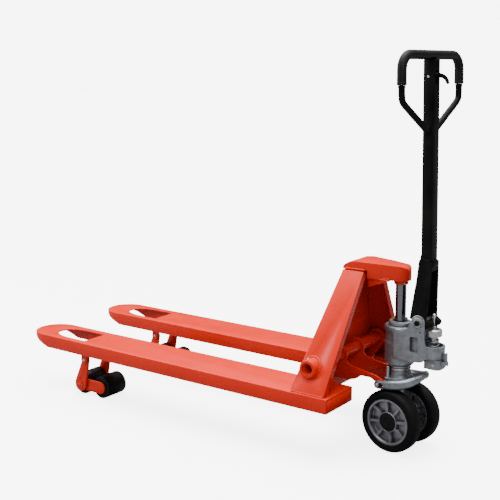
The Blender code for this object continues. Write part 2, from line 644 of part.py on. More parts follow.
# ---------------------------------------------------------------- tiller
def tiller():
    outer = tapered_box(-0.004, (-0.0275, 0.022, 0.036), 0.190, (-0.011, 0.034, 0.0215))
    cheek = bar((0, 0), 0.0235, PRESS_ROLLER, 0.009)
    feet = [side_plate(cheek, low, low + 0.006) for low in (-0.036, 0.030)]
    body = combined(outer, feet)
    inner = tapered_box(-0.060, (-0.0210, 0.080, 0.0338), 0.160, (-0.0060, 0.080, 0.0175))
    rod_hole = cylinder(0.004, (TUBE_X, 0, 0.1), (TUBE_X, 0, 0.3), 12)
    drill = cylinder(0.0111, (0, -0.1, 0), (0, 0.1, 0), 20)
    part(cut(body, inner, rod_hole, drill), "tiller_yoke", "black paint", HANDLE)
    part(cylinder(0.0108, (0, -0.0535, 0), (0, 0.0535, 0), 20), "tiller_pin", "steel", HANDLE)
    for side, low in (("left", -0.0288), ("right", 0.0125)):
        turn = joint_axis(f"press_axis_{side}", (PRESS_ROLLER[0], 0, PRESS_ROLLER[1]), HANDLE)
        part(cylinder(0.0115, (0, low, 0), (0, low + 0.0163, 0), 24), f"press_roller_{side}", "steel", turn)

    half, wall = TUBE / 2, 0.003
    top = LOOP_Z - GRIP_R - GAP
    tube = box((TUBE_X - half, -half, 0.1903), (TUBE_X + half, half, top))
    inside = box((TUBE_X - half + wall, wall - half, 0.15), (TUBE_X + half - wall, half - wall, 0.9))
    mouth = box((TUBE_X + 0.005, -0.006, TRIGGER_Z - 0.022), (TUBE_X + 0.03, 0.006, TRIGGER_Z + 0.020))
    part(cut(tube, inside, mouth), "tiller_tube", "black paint", HANDLE)

    corner = 0.032
    side_y, top_z, low_z = LOOP_HALF, LOOP_Z, 0.722
    left = [(-y, z) for y, z in arc((side_y - corner, top_z - corner), corner, 0, 90, 5)]
    path = [(-side_y, low_z)] + left + [(-y, z) for y, z in reversed(left)] + [(side_y, low_z)]
    grip = rod([(TUBE_X, y, z) for y, z in path], GRIP_R, 2)
    part(grip, "tiller_grip", "plastic", HANDLE)
    bend = [(0, 0.5709), (-0.140, 0.6594), (-0.157, 0.6715), (-side_y, 0.6870), (-side_y, low_z - GAP)]
    arm = rod([(TUBE_X, y, z) for y, z in bend], ARM_R, 2)
    arm = cut(arm, box((-0.05, -half - GAP, 0.5), (0.08, 0.05, 0.7)))
    pair(arm, "tiller_arm", "black paint", HANDLE)

    hook = [(0, 0), (0.028, 0.004), (0.040, 0), (0.046, -0.010), (0.047, -0.022)]
    blade = rod([(x, 0, z) for x, z in hook], 0.0052, 1)
    part(blade, "trigger", "black paint", TRIGGER)
    release_rod = cylinder(0.0016, (TUBE_X, 0, 0.10), (TUBE_X, 0, TRIGGER_Z - 0.008), 8)
    part(release_rod, "release_rod", "steel", HANDLE)


fork_frame()
tower()
rocker()
pair(moved(push_rods(), y=-FORK_Y), "push_rod", "steel", FRAME)
legs()
base()
pump()
plunger()
wheels()
tiller()
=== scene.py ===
"""Looks of the hand pallet truck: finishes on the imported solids, and the fine pieces that ride on them."""

import json
import math

import bmesh
import bpy
from mathutils import Matrix, Vector

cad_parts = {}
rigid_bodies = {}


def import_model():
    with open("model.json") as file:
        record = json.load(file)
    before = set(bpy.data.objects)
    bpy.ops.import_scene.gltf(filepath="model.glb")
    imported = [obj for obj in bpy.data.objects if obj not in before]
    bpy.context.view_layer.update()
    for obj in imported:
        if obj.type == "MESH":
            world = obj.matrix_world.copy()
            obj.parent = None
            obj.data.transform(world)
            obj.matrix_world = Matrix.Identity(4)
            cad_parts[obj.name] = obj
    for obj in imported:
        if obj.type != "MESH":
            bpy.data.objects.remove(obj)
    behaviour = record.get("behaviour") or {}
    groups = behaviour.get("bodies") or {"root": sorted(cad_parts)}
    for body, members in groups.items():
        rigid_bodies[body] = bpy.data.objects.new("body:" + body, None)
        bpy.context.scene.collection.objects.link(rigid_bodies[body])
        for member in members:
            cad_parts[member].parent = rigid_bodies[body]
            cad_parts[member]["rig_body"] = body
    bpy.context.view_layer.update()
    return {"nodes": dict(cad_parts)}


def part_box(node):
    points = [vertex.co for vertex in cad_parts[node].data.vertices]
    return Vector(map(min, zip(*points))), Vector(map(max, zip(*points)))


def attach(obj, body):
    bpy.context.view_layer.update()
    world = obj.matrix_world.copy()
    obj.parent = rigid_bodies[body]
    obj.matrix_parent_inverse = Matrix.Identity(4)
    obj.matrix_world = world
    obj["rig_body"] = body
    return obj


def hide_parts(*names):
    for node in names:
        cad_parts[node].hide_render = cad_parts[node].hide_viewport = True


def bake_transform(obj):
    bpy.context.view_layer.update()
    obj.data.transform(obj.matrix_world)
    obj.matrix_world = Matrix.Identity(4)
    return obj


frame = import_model()
NODES = frame["nodes"]
SCENE = bpy.context.scene
COS, SIN = math.cos, math.sin

# Places are in metres from the ram's axis on the floor, in three frames:
# the truck's, the steered unit's, and the tiller's, whose origin is its pin.
RAM_X = 0.6298
STEER_DEGREES = -5.2
TILT_DEGREES = -0.85
TILLER_PIN_X, TILLER_PIN_Z = 0.0875, 0.424
TRUCK = Matrix.Translation((RAM_X, 0, 0))
STEER = TRUCK @ Matrix.Rotation(math.radians(STEER_DEGREES), 4, "Z")
HANDLE = (STEER @ Matrix.Translation((TILLER_PIN_X, 0, TILLER_PIN_Z))
          @ Matrix.Rotation(math.radians(TILT_DEGREES), 4, "Y"))

WHEEL_CENTRE = (0.010, 0.058, 0.100)
SHAFT_X, SHAFT_Z = -0.186, 0.280
HIP_X, HIP_Y, HIP_Z = -1.139, 0.195, 0.1395
ROCKER_PIN_X, ROCKER_PIN_Z = -0.036, 0.214
CUP_X = 0.119
CUP = Matrix.Translation((CUP_X, 0, 0))
RELEASE_PIN = (0.1635, 0, 0.3000)
CHEEK_TAPER = 0.0756
CAST_VOXEL = 0.0013
TUBE_X = 0.012
TRIGGER_Z = 0.745
# The mast's side plates lean in: their outer face at the foot, and how far in for each metre up.
PLATE_FOOT_Y, PLATE_FOOT_Z = 0.267, 0.2101
PLATE_LEAN = 0.201 / 0.3529


# ---------------------------------------------------------------- shader helpers
class Shader:
    """A Principled material, with short calls for the nodes that vary it."""

    def __init__(self, name, colour, roughness, metallic=0.0, **sockets):
        self.material = bpy.data.materials.new(name)
        self.material.use_nodes = True
        self.nodes = self.material.node_tree.nodes
        self.links = self.material.node_tree.links
        self.main = self.nodes["Principled BSDF"]
        self.main.inputs["Base Color"].default_value = (*colour, 1)
        self.main.inputs["Roughness"].default_value = roughness
        self.main.inputs["Metallic"].default_value = metallic
        for socket, value in sockets.items():
            self.main.inputs[socket.replace("_", " ")].default_value = value
        self.place = self.nodes.new("ShaderNodeTexCoord").outputs["Object"]

    def node(self, kind, **settings):
        made = self.nodes.new(kind)
        for name, value in settings.items():
            setattr(made, name, value)
        return made

    def feed(self, node, **inputs):
        """Sets or links sockets by name, or by number as i0, i1 and so on."""
        for name, value in inputs.items():
            numbered = name[0] == "i" and name[1:].isdigit()
            socket = node.inputs[int(name[1:]) if numbered else name]
            if hasattr(value, "is_output"):
                self.links.new(value, socket)
            else:
                socket.default_value = value
        return node

    def stretched(self, scale):
        mapping = self.node("ShaderNodeMapping")
        return self.feed(mapping, Vector=self.place, Scale=scale).outputs["Vector"]

    def noise(self, scale, detail=4.0, rough=0.55, where=None):
        made = self.node("ShaderNodeTexNoise")
        self.feed(made, Vector=where or self.place, Scale=scale, Detail=detail, Roughness=rough)
        return made.outputs["Fac"]

    def ramp(self, value, low, high, to_low=0.0, to_high=1.0):
        made = self.node("ShaderNodeMapRange")
        self.feed(made, i0=value, i1=low, i2=high, i3=to_low, i4=to_high)
        return made.outputs["Result"]

    def math(self, operation, a, b):
        return self.feed(self.node("ShaderNodeMath", operation=operation), i0=a, i1=b).outputs[0]

    def mix(self, factor, a, b):
        made = self.node("ShaderNodeMix", data_type="RGBA")
        self.feed(made, i0=factor)
        for socket, value in ((made.inputs[6], a), (made.inputs[7], b)):
            if hasattr(value, "is_output"):
                self.links.new(value, socket)
            else:
                socket.default_value = (*value, 1)
        return made.outputs[2]

    def edges(self, low=0.52, high=0.60):
        """1 on outer edges and corners."""
        return self.ramp(self.node("ShaderNodeNewGeometry").outputs["Pointiness"], low, high)

    def shaded_corners(self, reach=0.02):
        """1 in corners where two faces meet, as ambient occlusion finds them: a mask for painted shade."""
        made = self.node("ShaderNodeAmbientOcclusion", samples=4)
        self.feed(made, Distance=reach)
        return self.ramp(made.outputs["AO"], 0.35, 0.9, 1.0, 0.0)

    def colour(self, value):
        self.links.new(value, self.main.inputs["Base Color"])

    def roughness(self, value):
        self.links.new(value, self.main.inputs["Roughness"])

    def bump(self, *layers):
        """Layers of (height, strength, depth in metres), each on top of the one before."""
        normal = None
        for height, strength, depth in layers:
            made = self.node("ShaderNodeBump")
            self.feed(made, Height=height, Strength=strength, Distance=depth)
            if normal is not None:
                self.links.new(normal, made.inputs["Normal"])
            normal = made.outputs["Normal"]
        self.links.new(normal, self.main.inputs["Normal"])
        return self.material


# ---------------------------------------------------------------- finishes
def red_enamel():
    """Baked gloss enamel over welded sheet: slight waviness, thin scuffs, dust and painted shade in the
    corners.
    """
    paint = (0.60, 0.014, 0.0015)
    s = Shader("red_enamel", paint, 0.30, Specular_IOR_Level=0.25)
    patch = s.ramp(s.noise(5.0, 3.0), 0.3, 0.7)
    base = s.mix(patch, (0.57, 0.012, 0.001), (0.63, 0.016, 0.002))
    # Dust and painted shade: corners that ambient occlusion finds are darkened, more in some patches than in
    # others.
    dust_and_shade = s.math("MULTIPLY", s.shaded_corners(0.015), s.ramp(s.noise(40.0), 0.35, 0.7, 0.03, 0.12))
    base = s.mix(dust_and_shade, base, (0.13, 0.016, 0.008))
    scuff = s.noise(90.0, 6.0, 0.7, s.stretched((0.25, 1.0, 1.0)))
    scuff = s.math("MULTIPLY", s.ramp(scuff, 0.66, 0.72), s.ramp(s.noise(9.0), 0.52, 0.68))
    chips = s.math("MULTIPLY", s.edges(0.58, 0.68), s.ramp(s.noise(130.0, 5.0, 0.7), 0.56, 0.64))
    base = s.mix(s.math("MULTIPLY", scuff, 0.5), base, (0.62, 0.10, 0.06))
    base = s.mix(chips, base, (0.16, 0.13, 0.12))
    s.colour(base)
    s.roughness(s.math("ADD", s.ramp(s.noise(22.0), 0.3, 0.7, 0.24, 0.36), s.math("MULTIPLY", scuff, 0.25)))
    return s.bump((s.noise(14.0, 2.0), 0.10, 0.004), (s.noise(420.0, 2.0), 0.06, 0.0004))


def chrome():
    s = Shader("hard_chrome", (0.80, 0.81, 0.83), 0.08, 1.0)
    rings = s.noise(60.0, 3.0, 0.6, s.stretched((0.3, 0.3, 12.0)))
    s.colour(s.mix(s.ramp(rings, 0.3, 0.75), (0.24, 0.25, 0.27), (0.16, 0.165, 0.18)))
    s.roughness(s.ramp(rings, 0.35, 0.7, 0.06, 0.20))
    return s.bump((rings, 0.05, 0.0003))


def zinc():
    s = Shader("zinc_plate", (0.56, 0.57, 0.58), 0.34, 1.0)
    cloud = s.noise(110.0, 5.0)
    base = s.mix(s.ramp(cloud, 0.35, 0.7), (0.60, 0.61, 0.62), (0.42, 0.42, 0.42))
    # Painted shade: corners that ambient occlusion finds are darkened towards near black.
    s.colour(s.mix(s.math("MULTIPLY", s.shaded_corners(0.008), 0.6), base, (0.10, 0.09, 0.08)))
    s.roughness(s.ramp(cloud, 0.3, 0.7, 0.26, 0.46))
    return s.bump((s.noise(600.0, 3.0), 0.12, 0.0003))


def casting():
    """Silver paint over a sand casting."""
    s = Shader("silver_casting", (0.26, 0.27, 0.29), 0.36, 0.8)
    grain = s.noise(330.0, 5.0, 0.65)
    lumps = s.noise(60.0, 3.0)
    base = s.mix(s.ramp(lumps, 0.35, 0.7), (0.29, 0.315, 0.345), (0.19, 0.205, 0.225))
    # Painted shade: corners and cavities that ambient occlusion finds are darkened towards near black.
    base = s.mix(s.math("MULTIPLY", s.shaded_corners(0.014), 0.85), base, (0.055, 0.055, 0.058))
    s.colour(s.mix(s.math("MULTIPLY", s.edges(0.53, 0.60), 0.4), base, (0.50, 0.52, 0.54)))
    s.roughness(s.ramp(grain, 0.3, 0.7, 0.28, 0.50))
    return s.bump((lumps, 0.20, 0.0016), (grain, 0.30, 0.0006))


def black_enamel():
    s = Shader("black_enamel", (0.004, 0.004, 0.0045), 0.36, Specular_IOR_Level=0.05)
    fleck = s.noise(260.0, 4.0, 0.6)
    worn = s.math("MULTIPLY", s.edges(0.60, 0.70), s.ramp(s.noise(70.0, 5.0, 0.7), 0.55, 0.66))
    base = s.mix(s.ramp(s.noise(12.0), 0.35, 0.7), (0.003, 0.003, 0.0035), (0.008, 0.008, 0.007))
    s.colour(s.mix(worn, base, (0.05, 0.05, 0.05)))
    s.roughness(s.ramp(s.noise(35.0), 0.3, 0.7, 0.26, 0.42))
    return s.bump((fleck, 0.10, 0.0004))


def rubber():
    s = Shader("tyre_rubber", (0.005, 0.005, 0.005), 0.62, Specular_IOR_Level=0.10)
    dust = s.math("MULTIPLY", s.ramp(s.noise(55.0, 5.0, 0.65), 0.45, 0.75), 0.45)
    s.colour(s.mix(dust, (0.0032, 0.0032, 0.0036), (0.0085, 0.0080, 0.0075)))
    s.roughness(s.ramp(s.noise(90.0), 0.3, 0.7, 0.50, 0.74))
    return s.bump((s.noise(700.0, 3.0), 0.25, 0.0003), (s.noise(80.0), 0.10, 0.0008))


def aluminium():
    """Die-cast wheel centre, machined at its rim."""
    s = Shader("cast_aluminium", (0.46, 0.47, 0.49), 0.40, 1.0)
    grain = s.noise(420.0, 4.0, 0.6)
    base = s.mix(s.ramp(s.noise(45.0), 0.3, 0.7), (0.36, 0.37, 0.40), (0.22, 0.225, 0.25))
    # Painted shade: corners that ambient occlusion finds are darkened towards near black.
    s.colour(s.mix(s.math("MULTIPLY", s.shaded_corners(0.012), 0.8), base, (0.07, 0.07, 0.07)))
    s.roughness(s.ramp(grain, 0.3, 0.7, 0.32, 0.50))
    return s.bump((grain, 0.22, 0.0004))


def grip_plastic():
    s = Shader("grip_plastic", (0.006, 0.006, 0.006), 0.48, Specular_IOR_Level=0.15)
    grain = s.noise(900.0, 2.0)
    s.colour(s.mix(s.ramp(s.noise(30.0), 0.4, 0.7), (0.005, 0.005, 0.006), (0.010, 0.010, 0.010)))
    s.roughness(s.ramp(s.noise(60.0), 0.3, 0.7, 0.40, 0.58))
    return s.bump((grain, 0.20, 0.0003))


def roller_nylon():
    """Roller treads: black, scuffed by floors in bands round the axle."""
    s = Shader("roller_tread", (0.005, 0.005, 0.005), 0.40, Specular_IOR_Level=0.12)
    bands = s.noise(70.0, 4.0, 0.6, s.stretched((0.15, 6.0, 0.15)))
    s.colour(s.mix(s.ramp(bands, 0.45, 0.75), (0.003, 0.003, 0.003), (0.008, 0.0075, 0.007)))
    s.roughness(s.ramp(bands, 0.35, 0.7, 0.30, 0.56))
    return s.bump((bands, 0.15, 0.0006))


def brass():
    s = Shader("brass", (0.62, 0.42, 0.14), 0.30, 1.0)
    s.colour(s.mix(s.ramp(s.noise(150.0), 0.4, 0.7), (0.62, 0.42, 0.14), (0.40, 0.26, 0.09)))
    return s.bump((s.noise(500.0), 0.10, 0.0002))


RED, CHROME, ZINC, CAST, BLACK = red_enamel(), chrome(), zinc(), casting(), black_enamel()
RUBBER, ALUMINIUM, GRIP, ROLLER, BRASS = rubber(), aluminium(), grip_plastic(), roller_nylon(), brass()


# ---------------------------------------------------------------- pieces
def finish(obj, material, bevel=0.0, segments=2, angle=35):
    obj.data.materials.clear()
    obj.data.materials.append(material)
    if obj.type == "MESH":
        obj.data.shade_smooth()
        obj.data.set_sharp_from_angle(angle=math.radians(angle))
        if bevel:
            soften = obj.modifiers.new("soften", "BEVEL")
            soften.width = bevel
            soften.segments = segments
            soften.limit_method = "ANGLE"
            soften.angle_limit = math.radians(angle)
            soften.harden_normals = False
    return obj


def weld(name):
    """Carried-over solids come as loose triangles along sharp edges, which a bevel can't round."""
    join = NODES[name].modifiers.new("join", "WELD")
    join.merge_threshold = 2e-5
    return NODES[name]


def keep(names, material, bevel=0.0, segments=2, angle=35):
    for name in names.split():
        obj = weld(name)
        finish(obj, material, bevel, segments, angle)


# ---------------------------------------------------------------- carried-over solids
keep("fork_left fork_right", RED, 0.0022, 3)
keep("heel_plate_left heel_plate_right heel_crossmember tower_front", RED, 0.0008)
keep("tower_side_left tower_side_right", RED, 0.0012)
keep("tower_cap", RED, 0.0040, 4)
keep("ram_socket shaft_boss_left shaft_boss_right torsion_shaft", RED, 0.0010)
keep("rocker_arm_left rocker_arm_right fork_lever_left fork_lever_right", RED, 0.0010)
keep("leg_left leg_right bogie_left bogie_right", RED, 0.0010)
keep("ram", CHROME, 0.0006)
keep("push_rod_left push_rod_right rocker_pin_left rocker_pin_right", ZINC, 0.0005)
keep("leg_axle_left leg_axle_right", ZINC, 0.0005)
keep("press_roller_left press_roller_right", BLACK, 0.0006)
keep("stop_stud thrust_bearing wheel_axle plunger", ZINC, 0.0007)
keep("plunger_screw plunger_spring tiller_pin release_rod", ZINC, 0.0004)
keep("pump_housing", CAST, 0.0022, 3)
keep("base_bracket valve_block gland_nut steering_stem", CAST, 0.0016, 3)
keep("release_lever", CAST, 0.0008)
keep("tiller_tube", BLACK, 0.0040, 4)
keep("tiller_yoke tiller_arm_left tiller_arm_right trigger", BLACK, 0.0012)
keep("tiller_grip hub_cap_left hub_cap_right", GRIP, 0.0012)
keep("front_roller_left front_roller_right rear_roller_left rear_roller_right", ROLLER, 0.0006)
keep("tyre_left tyre_right", RUBBER, 0.0010)
keep("wheel_hub_left wheel_hub_right", ALUMINIUM, 0.0010)


# ---------------------------------------------------------------- building fine pieces
def polar(centre, radius, degrees):
    turn = math.radians(degrees)
    return (centre[0] + radius * COS(turn), centre[1] + radius * SIN(turn))


def arc(centre, radius, start, end, steps=8):
    return [polar(centre, radius, start + (end - start) * i / steps) for i in range(steps + 1)]


def mirrored(profile):
    """A profile of (radius, height), closed by its own mirror image in height."""
    return profile + [(r, -h) for r, h in reversed(profile)]


def smooth_path(points, rounds=3):
    """Corners cut again and again, which rounds a path and keeps its ends."""
    points = [Vector(p) for p in points]
    for _ in range(rounds):
        cut = [points[0]]
        for a, b in zip(points, points[1:]):
            cut += [a.lerp(b, 0.25), a.lerp(b, 0.75)]
        points = cut + [points[-1]]
    return points


def ripple(waves):
    """How thick a weld bead is, against its mean, so many waves from its start."""
    return 0.93 + 0.10 * abs(SIN(math.pi * waves))


def along(axis, place=(0, 0, 0)):
    """A frame whose Z points along an axis."""
    turned = Vector(axis).to_track_quat("Z", "Y").to_matrix().to_4x4()
    return Matrix.Translation(place) @ turned


def pin_line(way):
    """The axis of the tiller's pin, in the steered unit's frame."""
    return along((0, way, 0), (TILLER_PIN_X, 0, TILLER_PIN_Z))


class Stock:
    """Simple closed shapes laid out in one frame, gathered into one piece."""

    def __init__(self, frame_matrix):
        self.frame, self.points, self.faces = frame_matrix, [], []

    def add(self, points, faces, place=None):
        full = self.frame @ place if place is not None else self.frame
        start = len(self.points)
        self.points += [full @ Vector(p) for p in points]
        self.faces += [[start + i for i in face] for face in faces]
        return self

    def lathe(self, profile, place=None, sides=96, ring=False):
        """A profile of (radius, height) turned round Z. A ring's profile closes on itself."""
        points, rows = [], []
        for r, h in profile:
            count = sides if r else 1
            rows.append(range(len(points), len(points) + count))
            points += [(*polar((0, 0), r, 360 * i / sides), h) for i in range(count)]
        pairs = list(zip(rows, rows[1:])) + ([(rows[-1], rows[0])] if ring else [])
        faces = []
        for low, high in pairs:
            for i in range(sides):
                corners = (low[i % len(low)], low[(i + 1) % len(low)],
                           high[(i + 1) % len(high)], high[i % len(high)])
                face = list(dict.fromkeys(corners))
                if len(face) > 2:
                    faces.append(face)
        return self.add(points, faces, place)

    def rod(self, radius, low, high, place=None, sides=64):
        """A plain cylinder between two heights."""
        return self.lathe([(0, low), (radius, low), (radius, high), (0, high)], place, sides)

    def plate(self, outline, low, high, place=None):
        """An outline in X and Z, standing between two values of Y."""
        count = len(outline)
        points = [(x, y, z) for y in (low, high) for x, z in outline]
        faces = [list(range(count)), list(range(2 * count - 1, count - 1, -1))]
        faces += [[i, i + count, (i + 1) % count + count, (i + 1) % count] for i in range(count)]
        return self.add(points, faces, place)

    def slab(self, outline, low, high, place=None):
        """An outline in X and Y, lying between two values of Z."""
        count = len(outline)
        points = [(x, y, z) for z in (low, high) for x, y in outline]
        faces = [list(range(count))[::-1], list(range(count, 2 * count))]
        faces += [[i, (i + 1) % count, (i + 1) % count + count, i + count] for i in range(count)]
        return self.add(points, faces, place)

    def sweep(self, path, radii, sides=20, place=None):
        """A round bar along a path, whose radius may change from point to point."""
        path = [Vector(p) for p in path]
        if not hasattr(radii, "__len__"):
            radii = [radii] * len(path)
        points, faces = [], []
        side = None
        for i, (here, radius) in enumerate(zip(path, radii)):
            ahead = (path[min(i + 1, len(path) - 1)] - path[max(i - 1, 0)]).normalized()
            if side is None:
                side = ahead.orthogonal().normalized()
            side = (side - ahead * side.dot(ahead)).normalized()
            up = ahead.cross(side)
            for k in range(sides):
                u, v = polar((0, 0), radius, 360 * k / sides)
                points.append(here + side * u + up * v)
        for i in range(len(path) - 1):
            for k in range(sides):
                a, b = i * sides + k, i * sides + (k + 1) % sides
                faces.append([a, b, b + sides, a + sides])
        last = (len(path) - 1) * sides
        faces += [list(range(sides))[::-1], list(range(last, last + sides))]
        return self.add(points, faces, place)

    def bead(self, start, end, radius, pitch=0.0045):
        """A weld bead, rippled the way it was laid down."""
        start, end = Vector(start), Vector(end)
        length = (end - start).length
        count = max(8, int(length / 0.0009))
        path = [start.lerp(end, i / count) for i in range(count + 1)]
        radii = [radius * ripple(i * length / count / pitch) for i in range(count + 1)]
        radii[0] = radii[-1] = radius * 0.3
        radii[1] = radii[-2] = radius * 0.75
        return self.sweep(path, radii, 14)

    def bolt(self, place, radius, height, washer=True):
        """A hexagon head on its washer, standing on the frame's XY plane."""
        if washer:
            ring = radius * 1.30
            disc = [(0, 0), (ring, 0), (ring, 0.0009), (ring - 0.0003, 0.0012), (0, 0.0012)]
            self.lathe(disc, place, 32)
        head = [(0, 0), (radius, 0), (radius, height * 0.86), (radius * 0.86, height), (0, height)]
        return self.lathe(head, place, 6)

    def built(self, name, joined):
        """The shapes as one object, their points joined where they meet if that is asked for."""
        mesh = bpy.data.meshes.new(name)
        mesh.from_pydata(self.points, [], self.faces)
        solid = bmesh.new()
        solid.from_mesh(mesh)
        if joined:
            bmesh.ops.remove_doubles(solid, verts=solid.verts, dist=1e-6)
        bmesh.ops.recalc_face_normals(solid, faces=solid.faces)
        solid.to_mesh(mesh)
        solid.free()
        obj = bpy.data.objects.new(name, mesh)
        SCENE.collection.objects.link(obj)
        return obj

    def cutter(self):
        return self.built("cutter", False)

    def made(self, name, material, node, bevel=0.0, segments=2, angle=35,
             stands_for=(), cast=0.0, cutters=()):
        """The finished piece. It rides the body of a node, and may stand for CAD nodes."""
        obj = self.built(name, True)
        if cast:
            melt = obj.modifiers.new("melt", "REMESH")
            melt.mode = "VOXEL"
            melt.voxel_size = cast
            relax = obj.modifiers.new("relax", "SMOOTH")
            relax.factor = 0.5
            relax.iterations = 5
            settle(obj)
        for cutter in cutters:
            part_off = obj.modifiers.new("cut", "BOOLEAN")
            part_off.operation = "DIFFERENCE"
            part_off.object = cutter
            part_off.solver = "EXACT"
            settle(obj)
            bpy.data.objects.remove(cutter)
        finish(obj, material, bevel, segments, angle)
        if node:
            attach(obj, NODES[node]["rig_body"])
        if stands_for:
            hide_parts(*stands_for)
        return obj


def settle(obj):
    """Leaves the piece as its modifiers shape it."""
    bpy.context.view_layer.update()
    graph = bpy.context.evaluated_depsgraph_get()
    mesh = bpy.data.meshes.new_from_object(obj.evaluated_get(graph))
    obj.modifiers.clear()
    obj.data = mesh


def centre(node):
    low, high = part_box(node)
    return tuple((a + b) / 2 for a, b in zip(low, high))


SIDES = (("left", -1), ("right", 1))


# ---------------------------------------------------------------- steered wheels
def wheel(side, sign):
    x, y, z = WHEEL_CENTRE
    lie = Matrix.Translation((x, sign * y, z)) @ Matrix.Rotation(sign * -math.pi / 2, 4, "X")
    flank = [(0.0737, 0.0232), (0.0748, 0.0242), (0.0790, 0.0249), (0.0797, 0.0242), (0.0806, 0.0242),
             (0.0813, 0.0249), (0.0870, 0.0249), (0.0905, 0.0240), (0.0935, 0.0225), (0.0957, 0.0206),
             (0.0974, 0.0178), (0.0987, 0.0145), (0.0996, 0.0110), (0.1, 0.0050)]
    Stock(STEER).lathe(mirrored(flank), lie, 128, True).made(
        f"tyre_moulded_{side}", RUBBER, f"tyre_{side}", stands_for=[f"tyre_{side}"])

    rim = [(0.0103, 0.0190), (0.0290, 0.0190), (0.0292, 0.0216), (0.0298, 0.0222), (0.0316, 0.0222),
           (0.0326, 0.0212), (0.0344, 0.0064), (0.0356, 0.0052), (0.0630, 0.0042), (0.0646, 0.0056),
           (0.0662, 0.0228), (0.0670, 0.0238), (0.0728, 0.0238), (0.0735, 0.0230)]
    hub = Stock(STEER).lathe(mirrored(rim), lie, 128, True)
    web = [(0.0315, -0.0190), (0.0450, -0.0165), (0.0664, -0.0190),
           (0.0664, 0.0190), (0.0450, 0.0165), (0.0315, 0.0190)]
    for rib in range(8):
        spoke = lie @ Matrix.Rotation(math.radians(45 * rib + 8), 4, "Z")
        hub.plate(web, -0.0044, 0.0044, spoke)
    hub.made(f"hub_cast_{side}", ALUMINIUM, f"wheel_hub_{side}", 0.0006, stands_for=[f"wheel_hub_{side}"])

    cap = [(0, 0.0226), (0.0090, 0.0226), (0.0100, 0.0218), (0.0112, 0.0226), (0.0220, 0.0224),
           (0.0242, 0.0212), (0.0262, 0.0204), (0.0284, 0.0210), (0.0290, 0.0204), (0.0290, 0.0150),
           (0, 0.0150)]
    Stock(STEER).lathe(cap, lie, 64).made(
        f"hub_cap_pressed_{side}", GRIP, f"hub_cap_{side}", stands_for=[f"hub_cap_{side}"])


for wheel_side, wheel_sign in SIDES:
    wheel(wheel_side, wheel_sign)


# ---------------------------------------------------------------- load rollers and legs
def roller(name):
    lie = along((0, 1, 0), centre(name))
    face = [(0.0103, 0.0448), (0.0120, 0.0454), (0.0205, 0.0454), (0.0215, 0.0442), (0.0325, 0.0442),
            (0.0335, 0.0454), (0.0370, 0.0454)]
    face += [(r, h) for h, r in arc((0.0424, 0.0370), 0.0030, 80, 10, 5)] + [(0.0400, 0.0412)]
    rows = mirrored(face)
    rows[len(face):len(face)] = [(0.0400, 0.0020), (0.0400, -0.0020)]
    Stock(Matrix.Identity(4)).lathe(rows, lie, 96, True).made(
        f"{name}_tread", ROLLER, name, stands_for=[name])


def leg_fasteners(side, sign):
    """Axle ends with their circlips, rivets of the rear spindle, and heads of the hip pins."""
    x, y, z = centre(f"leg_axle_{side}")
    ends = Stock(Matrix.Identity(4))
    for way in (-1, 1):
        lie = along((0, way, 0), (x, y, z))
        ends.lathe([(0, 0.0626), (0.0062, 0.0626), (0.0074, 0.0618), (0.0095, 0.0616), (0.0100, 0.0608),
                    (0.0100, 0.0590), (0, 0.0590)], lie, 48)
        ends.lathe([(0.0102, 0.0612), (0.0132, 0.0612), (0.0134, 0.0609), (0.0134, 0.0597), (0.0102, 0.0597)],
                   lie, 48, True)
    ends.made(f"leg_axle_ends_{side}", RED, f"leg_axle_{side}")
    dots = Stock(Matrix.Identity(4))
    for way in (-1, 1):
        for place in ((x - 0.0062, y, z + 0.0012), (x + 0.0064, y, z - 0.0014)):
            dots.lathe([(0, 0.0624), (0.0013, 0.0622), (0.0018, 0.0616), (0.0018, 0.0600), (0, 0.0600)],
                       along((0, way, 0), place), 20)
    dots.made(f"leg_axle_keepers_{side}", ZINC, f"leg_axle_{side}")
    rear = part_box(f"rear_roller_{side}")
    rear_x = (rear[0][0] + rear[1][0]) / 2
    rivets = Stock(Matrix.Identity(4))
    for way in (-1, 1):
        lie = along((0, way, 0), (rear_x, y, z))
        rivets.lathe([(0, 0.0521), (0.0016, 0.0521), (0.0020, 0.0523), (0.0088, 0.0523), (0.0096, 0.0519),
                      (0.0096, 0.0510), (0, 0.0510)], lie, 40)
    rivets.made(f"bogie_rivets_{side}", RED, f"bogie_{side}")
    hips = Stock(TRUCK)
    for way in (-1, 1):
        lie = along((0, way, 0), (HIP_X, sign * HIP_Y, HIP_Z))
        hips.lathe([(0, 0.0706), (0.0034, 0.0704), (0.0050, 0.0698), (0.0054, 0.0690), (0, 0.0690)], lie, 40)
        hips.lathe([(0.0082, 0.0606), (0.0120, 0.0606), (0.0122, 0.0604), (0.0122, 0.0598), (0.0082, 0.0598)],
                   lie, 40, True)
    hips.made(f"hip_pin_heads_{side}", ZINC, f"leg_{side}")


for leg_side, leg_sign in SIDES:
    roller(f"front_roller_{leg_side}")
    roller(f"rear_roller_{leg_side}")
    leg_fasteners(leg_side, leg_sign)


